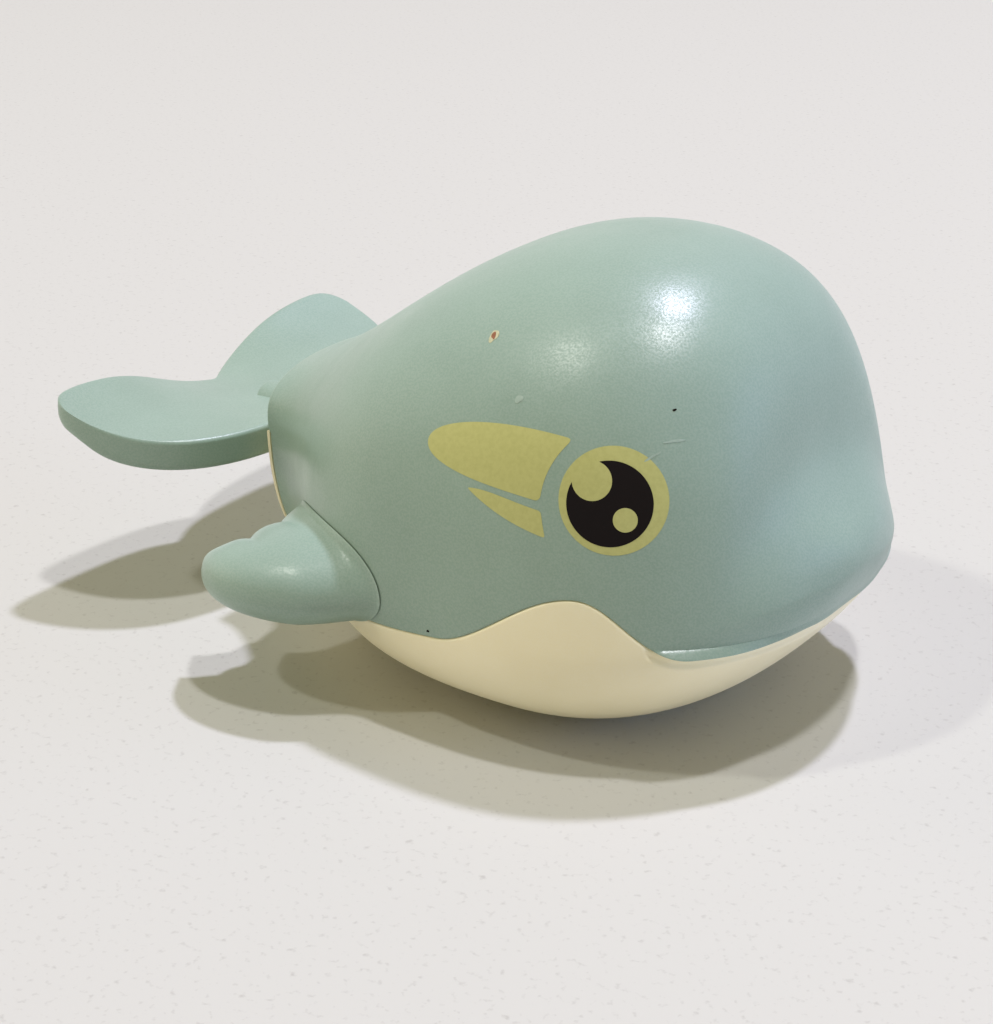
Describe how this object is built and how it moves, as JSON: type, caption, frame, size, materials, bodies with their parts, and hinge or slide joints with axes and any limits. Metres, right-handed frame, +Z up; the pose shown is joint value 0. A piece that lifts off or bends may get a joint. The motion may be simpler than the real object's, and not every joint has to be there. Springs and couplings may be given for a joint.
{
  "type": "wind-up whale toy",
  "caption": "Round-bodied whale bath toy with side flippers and a lobed tail on a shaft; the tail winds the clockwork inside and is then driven by it.",
  "frame": {"origin": "on the table plane, at the middle of the flat of the belly that the toy stands on", "axes": "+X towards the nose, +Y towards the whale's left flipper, +Z up; the tail shaft is parallel to X"},
  "size_m": [0.1215, 0.089, 0.066],
  "materials": {
    "green_plastic": "satin moulded plastic, grey-green",
    "cream_plastic": "satin moulded plastic, cream",
    "steel": "plain zinc-plated steel",
    "spring_steel": "tempered spring ribbon",
    "brass": "plain turned brass",
    "seal_rubber": "matt rubber"
  },
  "bodies": {
    "body": {"upper_shell": "green_plastic", "belly_shell": "cream_plastic", "rear_cover": "cream_plastic", "right_flipper": "green_plastic", "left_flipper": "green_plastic", "shaft_bush": "brass", "shaft_seal": "seal_rubber", "seal_cap": "steel", "idler_axle": "steel", "mainspring": "spring_steel", "motor_rear_plate": "steel", "motor_front_plate": "steel", "frame_pillars": "steel", "motor_screws": "steel", "shell_screws": "steel", "flipper_screws": "steel", "flipper_washers": "steel"},
    "tail": {"tail_fluke": "green_plastic", "drive_shaft": "steel", "tail_screw": "steel", "drive_pinion": "brass"},
    "idler": {"idler_gear": "brass"},
    "wheel": {"great_wheel": "brass", "spring_arbor": "steel"}
  },
  "joints": [
    {"name": "tail_spin", "type": "hinge", "parent": "body", "child": "tail", "pos_m": [-0.0473, 0, 0.0255], "axis": [1, 0, 0], "continuous": true},
    {"name": "idler_turn", "type": "hinge", "parent": "body", "child": "idler", "pos_m": [-0.0354, 0, 0.0147], "axis": [1, 0, 0], "continuous": true},
    {"name": "wheel_turn", "type": "hinge", "parent": "body", "child": "wheel", "pos_m": [-0.0312, 0, 0.0255], "axis": [1, 0, 0], "continuous": true}
  ],
  "couplings": [
    {"joint": "idler_turn", "follows": "tail_spin", "ratio": -0.5},
    {"joint": "wheel_turn", "follows": "tail_spin", "ratio": 0.16667}
  ]
}
